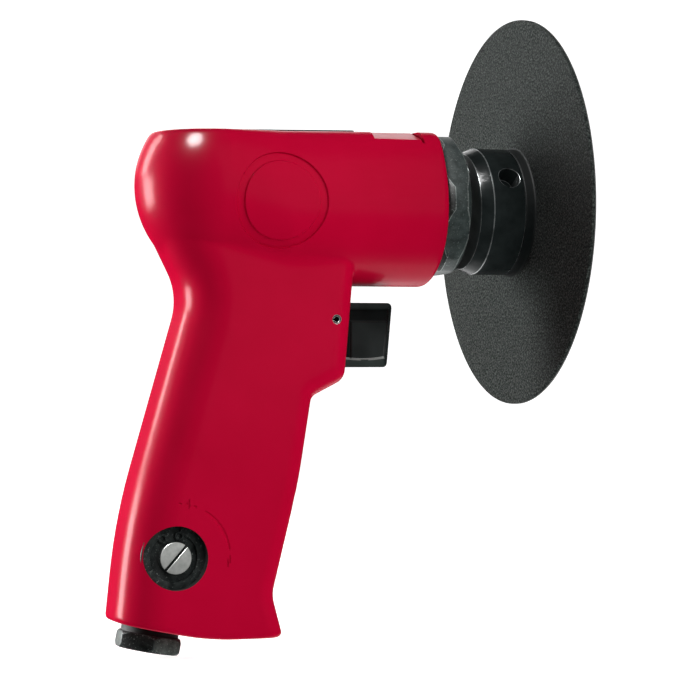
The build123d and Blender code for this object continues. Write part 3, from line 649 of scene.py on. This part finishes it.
# Faces of the nut's back chamfer, which take painted shade
def on_shaded_nut_back(place, normal):
    return normal.x < -shaded_nut_back_share


# Faces of the hub's back, which take painted light
def on_lit_hub_back(place, normal):
    return normal.x < -lit_hub_back_share


def on_shaded_pad_boss(place, normal):
    """Faces of the moulded boss, which has no grain; it is also darker, as painted shade for the
    hub's shadow on the pad.
    """
    from_axis = Vector((place.y, place.z)).length
    return place.x < pad_back_x - face_lap and from_axis < boss_radius + boss_foot_round


# Faces of the trigger's recess, which take painted shade
def in_shaded_trigger_recess(place, normal):
    return abs(normal.y) > shaded_recess_share and abs(place.y) < trigger_recess_y


def on_trigger_lip(place, normal):
    """Faces below the top of the lip, apart from its underside, which take a paler material."""
    return place.z < lip_top_z and normal.z > -lip_under_share


def on_lip_highlight_edge(place, normal):
    """Faces along the side edges of the top of the lip, which take a painted highlight."""
    near_top = abs(place.z - lip_top_z) < lip_reach
    return near_top and normal.z > lip_highlight_share and abs(normal.y) > lip_highlight_share


def on_lit_hex_flat(place, normal):
    """Every second flat of the inlet's hexagon, which takes a paler material as painted light where
    the lamps fall on the flats.
    """
    from_origin = place - inlet_origin
    aside = (from_origin - inlet_up * from_origin.dot(inlet_up)).length
    on_flat = aside > inlet_flat_radius and abs(normal.dot(inlet_up)) < hex_flat_share
    turn = atan2(normal.y, normal.x) - lit_flat_turn
    return on_flat and cos(3 * turn) > lit_flat_share


def on_regulator_nose(place, normal):
    return place.y < nose_front_y


# Materials

class Finish:
    """Short way to write a procedural material on one principled shader."""

    def __init__(self, name, **values):
        self.material = bpy.data.materials.new(name)
        self.material.use_nodes = True
        self.tree = self.material.node_tree
        self.shader = self.tree.nodes["Principled BSDF"]
        for name, value in values.items():
            socket = name.replace("_", " ").title().replace("Ior", "IOR")
            self.shader.inputs[socket].default_value = value
        self.place = self.tree.nodes.new("ShaderNodeTexCoord").outputs["Object"]

    def node(self, kind, **settings):
        made = self.tree.nodes.new("ShaderNode" + kind)
        for name, value in settings.items():
            if name in made.inputs:
                made.inputs[name].default_value = value
            else:
                setattr(made, name, value)
        return made

    def link(self, output, socket):
        self.tree.links.new(output, socket)

    def stretched(self, scale):
        mapping = self.node("Mapping", Scale=scale)
        self.link(self.place, mapping.inputs["Vector"])
        return mapping.outputs["Vector"]

    def noise(self, scale, detail=4.0, roughness=0.55, place=None):
        noise = self.node("TexNoise", Scale=scale, Detail=detail, Roughness=roughness)
        self.link(place or self.place, noise.inputs["Vector"])
        return noise.outputs["Fac"]

    def steps(self, value, *stops):
        """Colour or grey by a value, from (value, shade) stops."""
        ramp_node = self.node("ValToRGB")
        stops_made = ramp_node.color_ramp.elements
        while len(stops_made) < len(stops):
            stops_made.new(0.5)
        for made, (at, shade) in zip(stops_made, stops):
            made.position = at
            made.color = (*shade, 1) if isinstance(shade, tuple) else (shade, shade, shade, 1)
        self.link(value, ramp_node.inputs["Fac"])
        return ramp_node.outputs["Color"]

    def mixed(self, share, below, above):
        """Colour below, with a plain colour over it by a share."""
        mix = self.node("Mix", data_type="RGBA")
        self.link(share, mix.inputs["Factor"])
        self.link(below, mix.inputs["A"])
        mix.inputs["B"].default_value = (*above, 1)
        return mix.outputs["Result"]

    def spread(self, value, low, high, start=0.0, end=1.0):
        """A value's run from start to end, as low to high."""
        limits = {"From Min": start, "From Max": end, "To Min": low, "To Max": high}
        run = self.node("MapRange", **limits)
        self.link(value, run.inputs["Value"])
        return run.outputs["Result"]

    def colour(self, output):
        self.link(output, self.shader.inputs["Base Color"])

    def roughness(self, value, low, high):
        self.link(self.spread(value, low, high), self.shader.inputs["Roughness"])

    def bump(self, *layers):
        """Stacks (height output, strength, depth in millimetres) layers."""
        before = None
        for height, strength, depth in layers:
            bump = self.node("Bump", Strength=strength, Distance=depth * mm)
            self.link(height, bump.inputs["Height"])
            if before:
                self.link(before, bump.inputs["Normal"])
            before = bump.outputs["Normal"]
        self.link(before, self.shader.inputs["Normal"])


def paint_red():
    """Red enamel under a thin clear coat, a little cloudy and with a faint orange peel."""
    finish = Finish("red_paint", coat_weight=0.065, coat_roughness=0.18, specular_ior_level=0.008)
    cloud = finish.noise(28, detail=3)
    finish.colour(finish.steps(cloud, (0.35, (0.47, 0.0006, 0.026)), (0.65, (0.51, 0.0009, 0.030))))
    finish.roughness(finish.noise(260, detail=3), 0.28, 0.38)
    finish.bump((finish.noise(900, detail=2), 0.12, 0.05), (finish.noise(70, detail=2), 0.05, 0.4))
    return finish.material


def dark_steel(name, low, high, rough_low, rough_high, metallic=0.0, grain=700, specular=0.45):
    """Blackened turned steel between two shades."""
    finish = Finish(name, metallic=metallic, specular_ior_level=specular)
    cloud = finish.noise(190, detail=5)
    finish.colour(finish.steps(cloud, (0.3, low), (0.7, high)))
    finish.roughness(finish.noise(420), rough_low, rough_high)
    finish.bump((finish.noise(grain, detail=3), 0.12, 0.05))
    return finish.material


def forged_steel(name, low, high, speck, metallic=0.0):
    """Blackened forged steel, mottled, with pale specks where the blacking has rubbed off."""
    finish = Finish(name, metallic=metallic, specular_ior_level=0.2)
    mottle = finish.noise(330, detail=6, roughness=0.7)
    worn = finish.steps(finish.noise(1500, detail=3, roughness=0.7), (0.60, 0.0), (0.70, 1.0))
    finish.colour(finish.mixed(worn, finish.steps(mottle, (0.34, low), (0.66, high)), speck))
    finish.roughness(mottle, 0.38, 0.6)
    finish.bump((finish.noise(800, roughness=0.7), 0.35, 0.06))
    return finish.material


def pad_fibre():
    """Grained black fibre of the pad."""
    finish = Finish("pad_fibre", specular_ior_level=0.02)
    grain = finish.noise(1500, detail=2, roughness=0.8)
    finish.colour(finish.steps(grain, (0.38, (0.004, 0.005, 0.005)), (0.5, (0.020, 0.024, 0.022)),
                               (0.66, (0.075, 0.085, 0.08))))
    finish.roughness(finish.noise(300, detail=3), 0.7, 0.85)
    finish.bump((grain, 0.3, 0.06))
    return finish.material


def moulded(name, shade, rough_low, rough_high, specular=0.25):
    """Moulded plastic or rubber, a little uneven about one shade."""
    finish = Finish(name, specular_ior_level=specular)
    cloud = finish.noise(120)
    finish.colour(finish.steps(cloud, (0.3, tuple(0.8 * c for c in shade)),
                               (0.7, tuple(1.25 * c for c in shade))))
    finish.roughness(finish.noise(350, detail=3), rough_low, rough_high)
    finish.bump((finish.noise(1100, detail=2), 0.10, 0.04))
    return finish.material


def facing_sheet():
    """Smooth black sheet, scuffed in rings as it turns and rubbed paler at its rim."""
    finish = Finish("facing_vinyl", specular_ior_level=0.2)
    from_axis = finish.node("VectorMath", operation="LENGTH")
    finish.link(finish.stretched((0, 1, 1)), from_axis.inputs[0])
    radius = from_axis.outputs["Value"]
    along = finish.node("CombineXYZ")
    finish.link(radius, along.inputs["X"])
    scuffs = finish.noise(700, roughness=0.65, place=along.outputs["Vector"])
    patches = finish.steps(finish.noise(45, roughness=0.6), (0.35, 0.25), (0.65, 0.75))
    scuffed = finish.steps(scuffs, (0.35, (0.030, 0.032, 0.032)), (0.68, (0.062, 0.065, 0.065)))
    shade = finish.mixed(patches, scuffed, (0.042, 0.044, 0.044))
    rim = finish.spread(radius, 0.0, rim_wear, start=rim_wear_radius * mm, end=pad_rim_radius * mm)
    finish.colour(finish.mixed(rim, shade, (0.19, 0.195, 0.19)))
    finish.roughness(scuffs, 0.26, 0.46)
    finish.bump((scuffs, 0.10, 0.03), (finish.noise(1100, detail=2), 0.08, 0.03))
    return finish.material


def bright_metal(name, low, high, rough_low, rough_high, stretch=(1, 1, 1), metallic=1.0):
    """Machined metal between two shades, finely scratched."""
    finish = Finish(name, metallic=metallic)
    scratch = finish.noise(500, roughness=0.6, place=finish.stretched(stretch))
    finish.colour(finish.steps(scratch, (0.3, low), (0.7, high)))
    finish.roughness(scratch, rough_low, rough_high)
    finish.bump((scratch, 0.08, 0.03))
    return finish.material


def soft_fibre(name, low, high, scale):
    """Matted fibre between two shades."""
    finish = Finish(name, specular_ior_level=0.2)
    fibre = finish.noise(scale, detail=6, roughness=0.7)
    finish.colour(finish.steps(fibre, (0.3, low), (0.7, high)))
    finish.roughness(fibre, 0.8, 0.95)
    finish.bump((fibre, 0.5, 0.2))
    return finish.material


red = paint_red()
pad_grey = pad_fibre()
vinyl = facing_sheet()

ring_black = forged_steel("ring_black", (0.006, 0.008, 0.008), (0.035, 0.042, 0.040),
                          (0.16, 0.18, 0.17))
nut_steel = forged_steel("nut_steel", (0.020, 0.028, 0.027), (0.052, 0.068, 0.065),
                         (0.12, 0.15, 0.14), metallic=0.05)
nut_edge = forged_steel("nut_edge", (0.04, 0.05, 0.048), (0.22, 0.25, 0.24), (0.50, 0.53, 0.51),
                        metallic=0.2)
inlet_black = forged_steel("inlet_black", (0.003, 0.005, 0.005), (0.020, 0.026, 0.024),
                           (0.24, 0.27, 0.25))
# Paler steel for every second flat of the inlet's hexagon: painted light
inlet_flat_painted_light = forged_steel("inlet_flat_painted_light", (0.026, 0.035, 0.032), (0.085, 0.10, 0.092),
                          (0.22, 0.25, 0.23))

hub_black = dark_steel("hub_black", (0.012, 0.016, 0.016), (0.022, 0.028, 0.028), 0.2, 0.3,
                       grain=500, specular=0.03)
# Paler steel for the hub's back face: painted light for the fill that reaches it
hub_back_painted_light = dark_steel("hub_back_painted_light", (0.035, 0.042, 0.042), (0.06, 0.07, 0.07), 0.4, 0.55,
                      grain=500, specular=0.13)
# Paler steel for the hub's rounded edges: a painted highlight along them
hub_edge_painted_highlight = dark_steel("hub_edge_painted_highlight", (0.05, 0.057, 0.057), (0.22, 0.24, 0.24), 0.2, 0.35, metallic=0.2)

# Smooth black for the pad's moulded boss, darker as painted shade for the hub's shadow
pad_boss_painted_shade = moulded("pad_boss_painted_shade", (0.009, 0.012, 0.012), 0.5, 0.65, specular=0.05)
trigger_black = moulded("trigger_black", (0.012, 0.016, 0.0155), 0.35, 0.5)
# Darker copy of the trigger's black: painted shade for its recess
trigger_recess_painted_shade = moulded("trigger_recess_painted_shade", (0.004, 0.006, 0.006), 0.5, 0.65)
trigger_lip_pale = moulded("trigger_lip_pale", (0.024, 0.034, 0.031), 0.3, 0.45)
# Pale grey for the side edges of the lip's top: a painted highlight
trigger_painted_highlight = moulded("trigger_painted_highlight", (0.20, 0.22, 0.21), 0.3, 0.45)
plate_black = moulded("label_black", (0.010, 0.010, 0.011), 0.6, 0.75, specular=0.04)
rubber = moulded("seal_rubber", (0.012, 0.012, 0.012), 0.6, 0.8)
resin = moulded("vane_resin", (0.22, 0.13, 0.06), 0.5, 0.65)

bare_steel = bright_metal("bare_steel", (0.38, 0.395, 0.375), (0.52, 0.53, 0.51), 0.3, 0.45,
                          metallic=0.25)
bearing_steel = bright_metal("bearing_steel", (0.6, 0.6, 0.6), (0.75, 0.75, 0.75), 0.08, 0.18)
rotor_steel = bright_metal("rotor_steel", (0.42, 0.42, 0.42), (0.58, 0.58, 0.58), 0.2, 0.35,
                           stretch=(8, 1, 1))
liner = bright_metal("cast_liner", (0.18, 0.18, 0.18), (0.32, 0.32, 0.32), 0.35, 0.55)
brass = bright_metal("brass", (0.62, 0.42, 0.14), (0.80, 0.60, 0.26), 0.22, 0.4)
alloy = bright_metal("alloy", (0.45, 0.45, 0.46), (0.65, 0.65, 0.66), 0.35, 0.55)

felt = soft_fibre("felt", (0.32, 0.32, 0.30), (0.58, 0.57, 0.54), 900)
gasket = soft_fibre("gasket_fibre", (0.24, 0.20, 0.14), (0.42, 0.36, 0.26), 600)

slot_material = {
    "red_paint": red, "label_black": plate_black, "nut_steel": nut_steel, "black_steel": hub_black,
    "pad_fibre": pad_grey, "facing_vinyl": vinyl, "trigger_black": trigger_black,
    "bare_steel": bare_steel, "bearing_steel": bearing_steel, "rotor_steel": rotor_steel,
    "cast_liner": liner, "vane_resin": resin, "brass": brass, "seal_rubber": rubber, "felt": felt,
    "gasket_fibre": gasket, "alloy": alloy,
}


# Dressing: every solid gets its material, and the pieces that show get their finished forms

for name, node in nodes.items():
    node.data.materials.clear()
    node.data.materials.append(slot_material[node_slot[name]])

housing = make_housing()
paint_faces(housing, 1, in_machined_bore)
# Dark steel: the regulator bore's bare wall, painted shade in the trigger pocket, and the exhaust's
# inside
paint_faces(housing, 2, in_bare_or_shaded_opening)
settle(housing, "housing", red, alloy, ring_black)

nut = refined("clamp_nut", 0.3)
# The nut's back chamfer takes dark steel as painted shade, for its shadow in the gap next to the
# housing
paint_faces(nut, 2, on_shaded_nut_back)
settle(nut, "clamp_nut", nut_steel, nut_edge, ring_black)

# The hub's rounded edges take a paler steel as a painted highlight
hub = refined("pad_hub", 0.2, angle=12)
# The hub's back face takes a paler steel as painted light
paint_faces(hub, 2, on_lit_hub_back)
settle(hub, "pad_hub", hub_black, hub_edge_painted_highlight, hub_back_painted_light)

pad = make_pad()
# The boss takes a smooth, darker black, partly painted shade
paint_faces(pad, 1, on_shaded_pad_boss)
settle(pad, "backing_pad", pad_grey, pad_boss_painted_shade)

trigger = refined("trigger", 0.35)
rounded = [face for face in trigger.data.polygons if face.material_index == 1]
lip_highlight_faces = [face.index for face in rounded if on_lip_highlight_edge(face.center / mm, face.normal)]
paint_faces(trigger, 0, everywhere)
# The recess takes painted shade
paint_faces(trigger, 1, in_shaded_trigger_recess)
paint_faces(trigger, 2, on_trigger_lip)
# The side edges of the lip's top take a painted highlight
for index in lip_highlight_faces:
    trigger.data.polygons[index].material_index = 3
settle(trigger, "trigger", trigger_black, trigger_recess_painted_shade, trigger_lip_pale, trigger_painted_highlight)

pin = refined("trigger_pin", 0.15)
paint_faces(pin, 0, everywhere)
# The pin's bore takes dark steel as painted shade
paint_faces(pin, 1, in_shaded_pin_bore)
settle(pin, "trigger_pin", bare_steel, ring_black)

inlet = refined("inlet_bushing", 0.25)
# Every second flat of the hexagon takes a paler steel as painted light
paint_faces(inlet, 2, on_lit_hex_flat)
settle(inlet, "inlet_bushing", inlet_black, nut_steel, inlet_flat_painted_light)

settle(refined("top_plate", 0.15), "top_plate", plate_black)
settle(refined("exhaust_deflector", 0.3), "exhaust_deflector", alloy)
settle(refined("regulator_retaining_ring", 0.15), "regulator_retaining_ring", ring_black)

regulator = refined("regulator_stem", 0.2)
paint_faces(regulator, 0, everywhere)
paint_faces(regulator, 1, on_regulator_nose)
settle(regulator, "regulator_stem", ring_black, bare_steel)

spring = make_spring()
settle(spring, "valve_spring", slot_material[node_slot["valve_spring"]])
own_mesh(spring)


# Stage, in metres: a pale sweep, soft lights and the camera

floor_gap = 0.0008
sweep_flat, sweep_bend, sweep_height = 1.4, 0.8, 3.5
sweep_steps = 16
sweep_glow = 0.8
light_target = Vector((-0.08, 0, -0.04))
world_strength = 0.34
camera_place = (-0.3321288, -0.771588, -0.0456078)
camera_turn = radians(19.55096)
camera_lens, camera_sensor = 129.76, 36.0


def make_sweep():
    """Round pale sweep, so that every view has the same plain background."""
    floor_z = cad_box[0][2] - floor_gap
    profile = [(floor_z, 0), (floor_z, sweep_flat)]
    for k in range(1, sweep_steps + 1):
        turn = pi / 2 * k / sweep_steps
        profile.append((floor_z + sweep_bend - sweep_bend * cos(turn),
                        sweep_flat + sweep_bend * sin(turn)))
    profile.append((sweep_height, sweep_flat + sweep_bend))
    bm = bmesh.new()
    lathe(bm, Vector((0, 0, 0)), Vector((0, 0, 1)), profile)
    mesh = bpy.data.meshes.new("sweep")
    bm.to_mesh(mesh)
    bm.free()
    mesh.shade_smooth()
    sweep = add_object(mesh, "sweep")
    finish = Finish("sweep_paper", roughness=0.9, specular_ior_level=0.0,
                    emission_color=(1, 1, 1, 1), emission_strength=sweep_glow)
    finish.colour(finish.steps(finish.noise(40, detail=2), (0.3, 0.88), (0.7, 0.92)))
    mesh.materials.append(finish.material)
    for ray in ("visible_glossy", "visible_diffuse", "visible_shadow"):
        setattr(sweep, ray, False)


def add_light(name, direction, distance, size, brightness, shine=True, lit=True, shape="RECTANGLE"):
    """Soft light that the camera doesn't see, by how bright a surface that faces it gets. It may be
    left out of reflections (shine) or of plain light (lit)."""
    data = bpy.data.lights.new(name, "AREA")
    data.energy = brightness * (pi * distance) ** 2
    data.shape = shape
    data.size, data.size_y = size
    light = bpy.data.objects.new(name, data)
    towards = Vector(direction).normalized()
    light.location = light_target + towards * distance
    light.rotation_euler = towards.to_track_quat("Z", "Y").to_euler()
    light.visible_camera = False
    light.visible_glossy = shine
    light.visible_diffuse = lit
    scene.collection.objects.link(light)


make_sweep()
add_light("key", (0.40, -0.80, 0.4), 0.6, size=(0.65, 0.65), brightness=0.86, shine=False)
add_light("softbox", (-0.80, 0.57, 0.06), 1.0, size=(0.4, 0.5), brightness=1.6, shine=False)
add_light("bounce", (0.3, 0.0, -0.95), 0.6, size=(0.35, 0.35), brightness=0.45, shine=False)
add_light("strip", (-0.63, 0.657, 0.415), 1.0, size=(0.2, 0.5), brightness=2.0, lit=False)
add_light("panel", (-0.84, 0.54, 0.005), 1.0, size=(0.37, 0.34), brightness=2.6, lit=False)
add_light("spot", (-0.47, -0.31, 0.83), 1.1, size=(0.36, 0.32), brightness=8.0, lit=False,
          shape="ELLIPSE")
add_light("backdrop", (0.33, 0.84, 0.45), 1.3, size=(1.6, 0.8), brightness=0.8, lit=False)
add_light("floor_glow", (0.33, 0.55, -0.77), 0.9, size=(1.0, 1.0), brightness=1.6, lit=False)

world = bpy.data.worlds.new("studio")
world.use_nodes = True
background = world.node_tree.nodes["Background"]
background.inputs["Color"].default_value = (1, 1, 1, 1)
background.inputs["Strength"].default_value = world_strength
scene.world = world
world.cycles_visibility.glossy = False
scene.view_settings.view_transform = "Standard"

camera_data = bpy.data.cameras.new("camera")
camera_data.sensor_width = camera_sensor
camera_data.lens = camera_lens
camera = bpy.data.objects.new("camera", camera_data)
camera.location = camera_place
camera.rotation_euler = (pi / 2, 0, -camera_turn)
scene.collection.objects.link(camera)
scene.camera = camera
